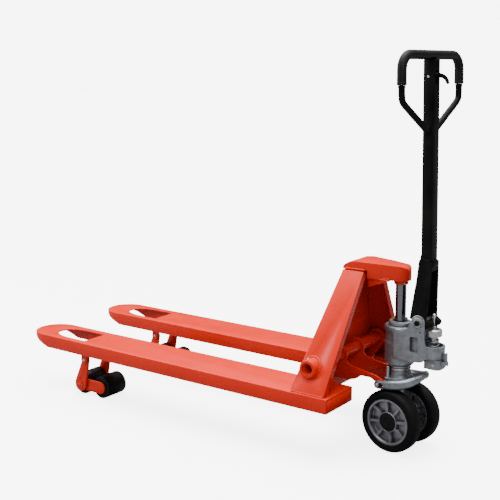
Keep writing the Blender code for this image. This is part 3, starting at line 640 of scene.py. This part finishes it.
# ---------------------------------------------------------------- tower
def tower_welds():
    """Seams of the mast on the fork heels, along the cap, and round the bosses of the torsion shaft."""
    beads = Stock(TRUCK)
    for sign in (-1, 1):
        beads.bead((-0.236, sign * 0.2655, 0.2070), (-0.119, sign * 0.2655, 0.2070), 0.0032)
        beads.bead((-0.235, sign * 0.2595, 0.2068), (-0.125, sign * 0.2595, 0.2068), 0.0025)
        beads.bead((-0.2375, sign * 0.119, 0.2068), (-0.2375, sign * 0.258, 0.2068), 0.0030)
        beads.bead((-0.232, sign * 0.119, 0.2068), (-0.232, sign * 0.255, 0.2068), 0.0025)
        beads.bead((-0.168, sign * 0.0600, 0.5668), (-0.100, sign * 0.0560, 0.5668), 0.0032)
        seam = []
        for x, z in arc((SHAFT_X, SHAFT_Z), 0.0305, 0, 360, 60):
            plate_y = PLATE_FOOT_Y - (z - PLATE_FOOT_Z) * PLATE_LEAN
            seam.append((x, sign * (plate_y + 0.0005), z))
        beads.sweep(seam, [0.0030 * ripple(0.71 * i) for i in range(len(seam))], 12)
    beads.bead((-0.1755, -0.055, 0.5655), (-0.1755, 0.055, 0.5655), 0.0030)
    beads.made("tower_weld_beads", RED, "tower_front", angle=60)


def cap_gussets():
    fins = Stock(TRUCK)
    for sign in (-1, 1):
        fin = [(-0.0935, 0.546), (-0.020, 0.546), (-0.020, 0.5392), (-0.0935, 0.511)]
        fins.plate(fin, sign * 0.0385 - 0.003, sign * 0.0385 + 0.003)
        fins.bead((-0.092, sign * 0.0425, 0.5400), (-0.024, sign * 0.0420, 0.5400), 0.0022)
    fins.made("cap_gussets", RED, "tower_cap", 0.0008)


def shaft_bosses():
    for side, sign in SIDES:
        lie = along((0, sign, 0), (SHAFT_X, 0, SHAFT_Z))
        wall = [(0.0191, 0.2535), (0.0252, 0.2535), (0.0270, 0.2530), (0.0282, 0.2518), (0.0285, 0.2500),
                (0.0285, 0.2030), (0.0191, 0.2030)]
        boss = Stock(TRUCK).lathe(wall, lie, 96, True)
        boss.made(f"shaft_boss_turned_{side}", RED, f"shaft_boss_{side}", 0.0005,
                  stands_for=[f"shaft_boss_{side}"])
        nipple = Stock(TRUCK)
        up = along((0, 0, 1), (SHAFT_X, sign * 0.2455, SHAFT_Z + 0.0280))
        nipple.lathe([(0, 0.0090), (0.0012, 0.0088), (0.0019, 0.0078), (0.0013, 0.0066), (0.0013, 0.0056),
                      (0.0030, 0.0040), (0, 0.0040)], up, 24)
        nipple.lathe([(0, 0), (0.0036, 0), (0.0036, 0.0034), (0.0031, 0.0040), (0, 0.0040)], up, 6)
        nipple.made(f"grease_nipple_{side}", ZINC, f"shaft_boss_{side}")


tower_welds()
cap_gussets()
shaft_bosses()


# ---------------------------------------------------------------- ram and pump
def ram():
    rod = [(0, 0.395), (0.0155, 0.395), (0.0170, 0.397), (0.0170, 0.5394), (0, 0.5394)]
    Stock(TRUCK).lathe(rod, None, 128).made("ram_ground", CHROME, "ram", stands_for=["ram"])
    socket = [(0.0172, 0.5397), (0.0172, 0.5272), (0.0215, 0.5270), (0.0226, 0.5280), (0.0226, 0.5397)]
    Stock(TRUCK).lathe(socket, None, 96, True).made(
        "ram_socket_turned", RED, "ram_socket", stands_for=["ram_socket"])
    clamp = Stock(TRUCK)
    clamp.bolt(along((0.74, -0.67, 0), (0.0163, -0.0150, 0.5332)), 0.0038, 0.0048, False)
    clamp.made("socket_screw", ZINC, "tower_cap", 0.0002)


def gland():
    nut = [(0.0178, 0.4080), (0.0232, 0.4082), (0.0238, 0.4098), (0.0256, 0.4098), (0.0262, 0.4088),
           (0.0330, 0.4086), (0.0352, 0.4076), (0.0360, 0.4060), (0.0360, 0.3983), (0.0178, 0.3983)]
    Stock(STEER).lathe(nut, None, 128, True).made("gland_turned", CAST, "gland_nut", stands_for=["gland_nut"])
    wiper = [(0.0172, 0.4099), (0.0192, 0.4098), (0.0222, 0.4088), (0.0224, 0.4083), (0.0176, 0.4080)]
    Stock(STEER).lathe(wiper, None, 96, True).made("ram_wiper", GRIP, "gland_nut")
    for name, turn, material in (("silver", -135, ZINC), ("brass", 171, BRASS), ("dark", 84, BLACK)):
        x, y = polar((0, 0), 0.0300, turn)
        plug = Stock(STEER).bolt(Matrix.Translation((x, y, 0.4088)), 0.0044, 0.0048)
        plug.made(f"gland_plug_{name}", material, "gland_nut", 0.0002)


def housing_cuts():
    """The bores, the gap between the ears, and the pockets of the cheeks."""
    cup_bore = [(0, 0.3315), (0.0290, 0.3315), (0.0305, 0.3330), (0.0310, 0.45), (0, 0.45)]
    gap = [(0.045, -0.0366), (0.14, -0.0366), (0.14, 0.0366), (0.045, 0.0366)]
    cuts = [
        Stock(STEER).rod(0.0177, 0.2700, 0.45, None, 64),
        Stock(STEER).lathe(cup_bore, CUP, 64),
        Stock(STEER).rod(0.0108, 0.3160, 0.3400, CUP, 48),
        Stock(STEER).rod(0.0111, -0.1, 0.1, pin_line(1), 48),
        Stock(STEER).slab(gap, 0.3990, 0.4600),
    ]
    pocket = arc((0.0665, 0.3345), 0.0045, 270, 180, 4) + arc((0.0665, 0.3735), 0.0045, 180, 90, 4)
    pocket += arc((0.0855, 0.3735), 0.0045, 90, 0, 4) + arc((0.0855, 0.3345), 0.0045, 0, -90, 4)
    for low in (-0.0620, 0.0345):
        cuts.append(Stock(STEER).plate(pocket, low, low + 0.0275))
    for low in (-0.0600, 0.0400):
        cuts.append(Stock(STEER).rod(0.0032, 0, 0.02, along((0, 1, 0), (0.0965, low, 0.3960)), 24))
    return [cut.cutter() for cut in cuts]


def housing():
    """The pump casting: barrel, cheek plates with their ears, and the cup, run together."""
    body = Stock(STEER)
    barrel = [(0, 0.2685), (0.0385, 0.2685), (0.0455, 0.2750), (0.0470, 0.2790), (0.0476, 0.3440),
              (0.0452, 0.3484), (0.0458, 0.3500), (0.0466, 0.3780), (0.0488, 0.3830), (0.0490, 0.3920),
              (0.0470, 0.3970), (0, 0.3970)]
    body.lathe(barrel, None, 96)
    outline = [(0.006, 0.300), (0.006, 0.392), (0.040, 0.394), (0.053, 0.404), (0.064, 0.425)]
    outline += arc((TILLER_PIN_X, TILLER_PIN_Z), 0.0238, 165, -10, 14)
    outline += [(0.1100, 0.400), (0.1110, 0.375), (0.1130, 0.360), (CUP_X, 0.3525)]
    outline += [(CUP_X, 0.316), (0.0960, 0.300), (0.0620, 0.2960)]
    ear = [(0, 0.0400), (0.0155, 0.0400), (0.0155, 0.0446), (0.0145, 0.0452), (0, 0.0452)]
    for way in (-1, 1):
        taper = Matrix.Identity(4)
        taper[1][0] = -way * CHEEK_TAPER
        low, high = sorted((way * 0.0495, way * 0.0450))
        body.plate(outline, low, high, taper)
        body.lathe(ear, pin_line(way), 64)
    body.slab([(0, -0.0480), (0.0880, -0.0418), (0.0880, 0.0418), (0, 0.0480)], 0.3130, 0.3780)
    body.slab([(0, -0.0480), (CUP_X, -0.0390), (CUP_X, 0.0390), (0, 0.0480)], 0.3130, 0.3505)
    keel = [(0, -0.0440), (0.0700, -0.0400), (0.0940, -0.0300),
            (0.0940, 0.0300), (0.0700, 0.0400), (0, 0.0440)]
    body.slab(keel, 0.2965, 0.3200)
    cup = [(0, 0.3100), (0.0310, 0.3100), (0.0350, 0.3140), (0.0362, 0.3200), (0.0366, 0.3480),
           (0.0374, 0.3530), (0, 0.3530)]
    body.lathe(cup, CUP, 96)
    body.made("pump_casting", CAST, "pump_housing", angle=40, stands_for=["pump_housing"],
              cast=CAST_VOXEL, cutters=housing_cuts())


def pump_fittings():
    rings = [(0.0226, 0.2677), (0.0350, 0.2677), (0.0354, 0.2672), (0.0354, 0.2648), (0.0336, 0.2642),
             (0.0330, 0.2618), (0.0362, 0.2610), (0.0368, 0.2602), (0.0368, 0.2570), (0.0362, 0.2562),
             (0.0330, 0.2556), (0.0330, 0.2530), (0.0352, 0.2522), (0.0352, 0.2503), (0.0226, 0.2503)]
    Stock(STEER).lathe(rings, None, 128, True).made(
        "thrust_races", ZINC, "thrust_bearing", stands_for=["thrust_bearing"])
    heads = Stock(STEER)
    washers = Stock(STEER)
    washer = [(0, 0.0455), (0.0122, 0.0455), (0.0126, 0.0458), (0.0126, 0.0470), (0, 0.0470)]
    for way in (-1, 1):
        washers.lathe(washer, pin_line(way), 48)
        seat = along((0, way, 0), (TILLER_PIN_X, way * 0.0470, TILLER_PIN_Z))
        heads.bolt(seat, 0.0090, 0.0052, False)
    washers.rod(0.0108, -0.0460, 0.0460, pin_line(1), 48)
    heads.made("tiller_pin_heads", BLACK, "tiller_pin", 0.0003)
    washers.made("tiller_pin_turned", ZINC, "tiller_pin", stands_for=["tiller_pin"])
    dots = Stock(STEER)
    for way in (-1, 1):
        for dx, dz in ((-0.0185, -0.003), (0.0125, -0.0145)):
            x = TILLER_PIN_X + dx
            lie = along((0, way, 0), (x, way * (0.0492 - CHEEK_TAPER * x), TILLER_PIN_Z + dz))
            dots.lathe([(0, 0), (0.0022, 0), (0.0022, 0.0012), (0.0014, 0.0020), (0, 0.0021)], lie, 20)
    dots.made("ear_grub_screws", ZINC, "pump_housing")
    plugs = Stock(STEER)
    for turn, z in ((-62, 0.2945), (28, 0.2990)):
        x, y = polar((0.121, 0), 0.0270, turn)
        plugs.bolt(along((COS(math.radians(turn)), SIN(math.radians(turn)), 0), (x, y, z)), 0.0042, 0.0040)
    plugs.made("valve_plugs", ZINC, "valve_block", 0.0003)


def release_lever():
    outline = arc((0.1640, 0.3000), 0.0046, 180, 360, 12) + arc((0.1645, 0.3330), 0.0030, 0, 180, 10)
    lever = Stock(STEER).plate(outline, -0.0048, 0.0048)
    lever.rod(0.0024, -0.0060, 0.0060, along((0, 1, 0), RELEASE_PIN), 24)
    lever.made("release_lever_forged", CAST, "release_lever", 0.0008, stands_for=["release_lever"])


def screw_and_cap():
    cap = [(0, 0.4040), (0.0215, 0.4040), (0.0224, 0.4030), (0.0240, 0.4030), (0.0262, 0.4008),
           (0.0265, 0.3990), (0.0265, 0.3830), (0.0255, 0.3815), (0.0220, 0.3810), (0.0220, 0.3980),
           (0.0100, 0.3980), (0.0100, 0.3600), (0, 0.3600)]
    Stock(STEER).lathe(cap, CUP, 96).made("plunger_cap_turned", ZINC, "plunger", stands_for=["plunger"])
    ball = [(0, 0.4515)] + arc((0, 0.4445), 0.0070, 84, -60, 20)
    ball += [(0.0034, 0.4370), (0.0034, 0.4130), (0, 0.4130)]
    washer = [(0, 0.4042), (0.0128, 0.4042), (0.0130, 0.4052), (0.0128, 0.4058), (0, 0.4058)]
    nut = [(0, 0.4058), (0.0086, 0.4058), (0.0090, 0.4068), (0.0090, 0.4112), (0.0078, 0.4128), (0, 0.4128)]
    screw = Stock(STEER).lathe(ball, CUP, 48).lathe(washer, CUP, 48).lathe(nut, CUP, 6)
    screw.made("plunger_screw_turned", ZINC, "plunger_screw", stands_for=["plunger_screw"])


def spring():
    """The return spring, from the floor of the cup up under the cap, its foot standing in the cup."""
    low, high, turns, steps = 0.3330, 0.3960, 5.5, 28
    count = int(turns * steps)
    closed = 0.6 * steps
    path = []
    for i in range(count + 1):
        x, y = polar((CUP_X, 0), 0.0165, 360 * i / steps)
        rise = min(max((i - closed) / (count - 2 * closed), 0), 1)
        path.append((x, y, low + (high - low) * rise))
    coil = Stock(STEER).sweep(path, 0.0016, 12)
    obj = coil.made("return_spring", ZINC, None, stands_for=["plunger_spring"])
    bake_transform(obj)


ram()
gland()
housing()
pump_fittings()
release_lever()
screw_and_cap()
spring()


# ---------------------------------------------------------------- base bracket
def bracket_arm(body, sign):
    """An arm from the rocker pin's ear round the steering bearing to the upturned tail."""
    line = [(-0.030, 0.0715, 0.2145), (-0.012, 0.0725, 0.2160), (0.014, 0.0705, 0.2190),
            (0.036, 0.0620, 0.2215), (0.056, 0.0480, 0.2275), (0.074, 0.0300, 0.2370),
            (0.088, 0.0120, 0.2470), (0.092, 0.0, 0.2500)]
    spine = smooth_path(line, 3)
    count = len(spine) - 1
    for step in (-1, 1):
        path, radii = [], []
        for i, (x, y, z) in enumerate(spine):
            fat = SIN(math.pi * (i / count) ** 0.8)
            path.append((x, sign * y, z + step * 0.0045 * fat))
            radii.append(0.0086 + 0.0022 * fat)
        body.sweep(path, radii, 24)
    inner = [(x - 0.012, sign * max(y - 0.015, 0), z) for x, y, z in line[2:]]
    body.sweep(smooth_path(inner, 2), 0.0095, 20)
    outline = arc((-0.0360, 0.2135), 0.0121, 90, 270, 12) + arc((-0.0219, 0.2135), 0.0121, -90, 90, 12)
    low, high = sorted((sign * 0.0632, sign * 0.0802))
    body.plate(outline, low, high)


def bracket():
    """A cast crescent, with a slot in each ear for the rocker's pin."""
    body = Stock(TRUCK)
    plan = [(-0.034, -0.030), (-0.030, -0.046), (-0.002, -0.050), (0.004, -0.079)]
    plan += arc((-0.001, -0.037), 0.0420, -80, 0, 8) + arc((-0.001, 0.037), 0.0420, 0, 80, 8)
    plan += [(0.004, 0.079), (-0.002, 0.050), (-0.030, 0.046), (-0.034, 0.030)]
    body.slab(plan, 0.2056, 0.2300)
    seat = [(0, 0.2200), (0.0420, 0.2200), (0.0395, 0.2340), (0.0374, 0.2390), (0.0370, 0.2500), (0, 0.2500)]
    body.lathe(seat, None, 96)
    for sign in (-1, 1):
        bracket_arm(body, sign)
    stem = Stock(TRUCK).rod(0.0225, 0.15, 0.30, None, 64).cutter()
    path = arc((-0.0363, 0.2135), 0.0073, 90, 270, 10) + arc((-0.0217, 0.2135), 0.0073, -90, 90, 10)
    slot_cut = Stock(TRUCK).plate(path, -0.1, 0.1).cutter()
    body.made("base_casting", CAST, "base_bracket", angle=40, stands_for=["base_bracket"],
              cast=CAST_VOXEL, cutters=[stem, slot_cut])


def stop_stud():
    place = Matrix.Translation((-0.020, -0.040, 0))
    shank = [(0, 0.2265), (0.0060, 0.2265), (0.0060, 0.2640), (0.0048, 0.2665), (0, 0.2665)]
    nut = [(0, 0.2260), (0.0098, 0.2260), (0.0098, 0.2310), (0.0086, 0.2322), (0, 0.2322)]
    stud = Stock(TRUCK).lathe(shank, place, 48).lathe(nut, place, 6)
    stud.made("stop_stud_turned", ZINC, "stop_stud", 0.0002, stands_for=["stop_stud"])


def rocker_pin_heads():
    head = [(0, 0.0838), (0.0024, 0.0838), (0.0030, 0.0832), (0.0058, 0.0832), (0.0064, 0.0826),
            (0.0064, 0.0800), (0, 0.0800)]
    for side, sign in SIDES:
        lie = along((0, sign, 0), (ROCKER_PIN_X, 0, ROCKER_PIN_Z))
        Stock(TRUCK).lathe(head, lie, 40).made(f"rocker_pin_head_{side}", ZINC, f"rocker_pin_{side}")


bracket()
stop_stud()
rocker_pin_heads()


# ---------------------------------------------------------------- tiller
def tiller_grip():
    """The moulded grip, with a lip at each end."""
    corner, side_y, top = 0.044, 0.165, 0.8092
    bend = arc((side_y - corner, top - corner), corner, 0, 90, 12)
    run = [(TUBE_X, -side_y, z) for z in (0.7220, 0.7224, 0.7290, 0.7294, 0.7500)]
    half = run + [(TUBE_X, -y, z) for y, z in bend]
    path = half + [(x, -y, z) for x, y, z in reversed(half)]
    lip = [0.0138, 0.0147, 0.0147, 0.0142]
    radii = lip + [lip[-1]] * (len(path) - 2 * len(lip)) + lip[::-1]
    grip = Stock(HANDLE).sweep(path, radii, 40)
    grip.made("tiller_grip_moulded", GRIP, "tiller_grip", 0.0004, angle=50, stands_for=["tiller_grip"])


def tiller_arms():
    """The bent arms of the loop, each with a collar at the tube and another at the grip."""
    bends = [(0.0120, 0.5785), (0.0700, 0.6153), (0.1300, 0.6530), (0.1610, 0.6728),
             (0.1650, 0.6920), (0.1650, 0.7217)]
    inner, outer = [(0.0182, 0.5822), (0.0214, 0.5843)], [(0.1650, 0.7140), (0.1650, 0.7217)]
    for side, sign in SIDES:
        line, low, high = ([(TUBE_X, sign * y, z) for y, z in row] for row in (bends, inner, outer))
        arm = Stock(HANDLE).sweep(smooth_path(line, 4), 0.0100, 32)
        arm.sweep(low, 0.0122, 32)
        arm.sweep(high, 0.0112, 32)
        arm.made(f"tiller_arm_bent_{side}", BLACK, f"tiller_arm_{side}", 0.0005,
                 stands_for=[f"tiller_arm_{side}"])
    boss = [(0, 0.0258), (0.0045, 0.0250), (0.0075, 0.0225), (0.0088, 0.0185), (0, 0.0185)]
    lie = along((0, -1, 0), (TUBE_X, 0, 0.5925))
    Stock(HANDLE).lathe(boss, lie, 40).made("tiller_arm_boss", BLACK, "tiller_tube")


def trigger():
    line = [(0.002, 0, 0.001), (0.022, 0, 0.0045), (0.038, 0, 0.0020),
            (0.0500, 0, -0.0070), (0.0560, 0, -0.0220)]
    path = smooth_path(line, 3)
    count = len(path) - 1
    radii = [0.0078 - 0.0030 * (i / count) ** 1.5 for i in range(count + 1)]
    radii[-1] = 0.0020
    flat = Matrix.Diagonal((1, 0.70, 1, 1))
    lever = HANDLE @ Matrix.Translation((TUBE_X, 0, TRIGGER_Z))
    Stock(lever).sweep(path, radii, 28, flat).made("trigger_hook", BLACK, "trigger", 0.0003,
                                                   stands_for=["trigger"])
    pin = Stock(HANDLE)
    for way in (-1, 1):
        pin.lathe([(0, 0.0202), (0.0020, 0.0200), (0.0036, 0.0190), (0.0040, 0.0179), (0, 0.0179)],
                  along((0, way, 0), (TUBE_X, 0, TRIGGER_Z)), 28)
    pin.made("trigger_pin", ZINC, "tiller_tube")


def yoke_front():
    """The folded front of the yoke: wide at the pin, and cut on a slant where it meets the tube."""
    foot = [(-0.0330, 0.0352), (-0.0350, 0.0330), (-0.0350, -0.0330), (-0.0330, -0.0352),
            (0.0, -0.0358), (0.0, 0.0358)]
    head = [(-0.0050, 0.0216), (-0.0066, 0.0200), (-0.0066, -0.0200), (-0.0050, -0.0216),
            (0.022, -0.0216), (0.022, 0.0216)]
    lows = [(x, y, 0.0085 - 0.30 * (x + 0.0350)) for x, y in foot]
    highs = [(x, y, 0.2030 - 0.50 * (x + 0.0066)) for x, y in head]
    faces = [[5, 4, 3, 2, 1, 0], [6, 7, 8, 9, 10, 11]]
    faces += [[i, (i + 1) % 6, (i + 1) % 6 + 6, i + 6] for i in range(6)]
    Stock(HANDLE).add(lows + highs, faces).made("yoke_front", BLACK, "tiller_yoke", 0.0010)


def yoke_welds():
    """The beads that hold the square tube in the folded yoke."""
    beads = Stock(HANDLE)
    for y in (-0.0195, 0.0195):
        beads.bead((0.004, y, 0.1925), (0.028, y, 0.1925), 0.0024)
    for x, z in ((-0.0072, 0.2040), (0.0315, 0.1915)):
        beads.bead((x, -0.016, z), (x, 0.016, z), 0.0024)
    beads.made("yoke_weld_beads", BLACK, "tiller_tube", angle=60)


tiller_grip()
tiller_arms()
trigger()
yoke_front()
yoke_welds()


# ---------------------------------------------------------------- studio
def floor():
    """A pale floor that shines for the camera alone, so that it lights nothing."""
    reach = 30
    corners = [(-reach, -reach, 0), (reach, -reach, 0), (reach, reach, 0), (-reach, reach, 0)]
    mesh = bpy.data.meshes.new("floor")
    mesh.from_pydata(corners, [], [(0, 1, 2, 3)])
    ground = bpy.data.objects.new("floor", mesh)
    SCENE.collection.objects.link(ground)
    pale = Shader("floor", (0.90, 0.90, 0.90), 0.6)
    pale.main.inputs["Emission Color"].default_value = (1, 1, 1, 1)
    seen = pale.node("ShaderNodeLightPath").outputs["Is Camera Ray"]
    pale.colour(pale.mix(seen, (0.15, 0.15, 0.15), (0.93, 0.93, 0.93)))
    pale.feed(pale.main, **{"Emission Strength": pale.math("MULTIPLY", seen, 4.5)})
    ground.data.materials.append(pale.material)


def surroundings():
    """Soft light that grows towards the zenith, and an even white that only the camera sees."""
    world = bpy.data.worlds.new("studio")
    world.use_nodes = True
    nodes, links = world.node_tree.nodes, world.node_tree.links
    around = nodes["Background"]
    height = nodes.new("ShaderNodeSeparateXYZ")
    links.new(nodes.new("ShaderNodeTexCoord").outputs["Generated"], height.inputs[0])
    rise = nodes.new("ShaderNodeMapRange")
    links.new(height.outputs["Z"], rise.inputs["Value"])
    for socket, value in (("From Min", 0.25), ("From Max", 0.95), ("To Min", 0.06), ("To Max", 1.80)):
        rise.inputs[socket].default_value = value
    links.new(rise.outputs["Result"], around.inputs["Strength"])
    around.inputs["Color"].default_value = (1, 1, 1, 1)
    behind = nodes.new("ShaderNodeBackground")
    behind.inputs["Strength"].default_value = 9.0
    seen = nodes.new("ShaderNodeMixShader")
    links.new(nodes.new("ShaderNodeLightPath").outputs["Is Camera Ray"], seen.inputs["Fac"])
    links.new(around.outputs[0], seen.inputs[1])
    links.new(behind.outputs[0], seen.inputs[2])
    links.new(seen.outputs[0], nodes["World Output"].inputs["Surface"])
    SCENE.world = world


def placed(name, light, place, aim):
    obj = bpy.data.objects.new(name, light)
    obj.location = place
    obj.rotation_euler = (Vector(aim) - Vector(place)).to_track_quat("-Z", "Y").to_euler()
    SCENE.collection.objects.link(obj)


def softbox(name, place, aim, size, power):
    light = bpy.data.lights.new(name, "AREA")
    light.shape = "SQUARE"
    light.size = size
    light.energy = power
    placed(name, light, place, aim)


def lights():
    sky = bpy.data.lights.new("sky", "SUN")
    sky.energy = 7.5
    sky.angle = math.radians(60)
    placed("sky", sky, (-0.9, 0.5, 5.0), (0, 0, 0))
    softbox("key", (-3.4, -2.4, 2.4), (0, 0, 0.3), 2.1, 108)
    softbox("fill", (3.0, -2.6, 2.9), (RAM_X - 0.1, 0, 0.30), 1.6, 48)


def camera():
    """The photograph's viewpoint, solved from edges that are parallel or level on the truck."""
    data = bpy.data.cameras.new("camera")
    data.lens = 69.24
    data.sensor_width = 36
    data.shift_y = -0.091
    data.clip_start = 0.05
    data.clip_end = 100
    obj = bpy.data.objects.new("camera", data)
    turn, rise = math.radians(35.7), math.radians(8.2)
    back = Vector((SIN(turn) * COS(rise), -COS(turn) * COS(rise), SIN(rise)))
    obj.location = (RAM_X + 1.3314, -2.6630, 1.2004)
    obj.rotation_mode = "QUATERNION"
    obj.rotation_quaternion = (-back).to_track_quat("-Z", "Y")
    SCENE.collection.objects.link(obj)
    SCENE.camera = obj


floor()
surroundings()
lights()
camera()
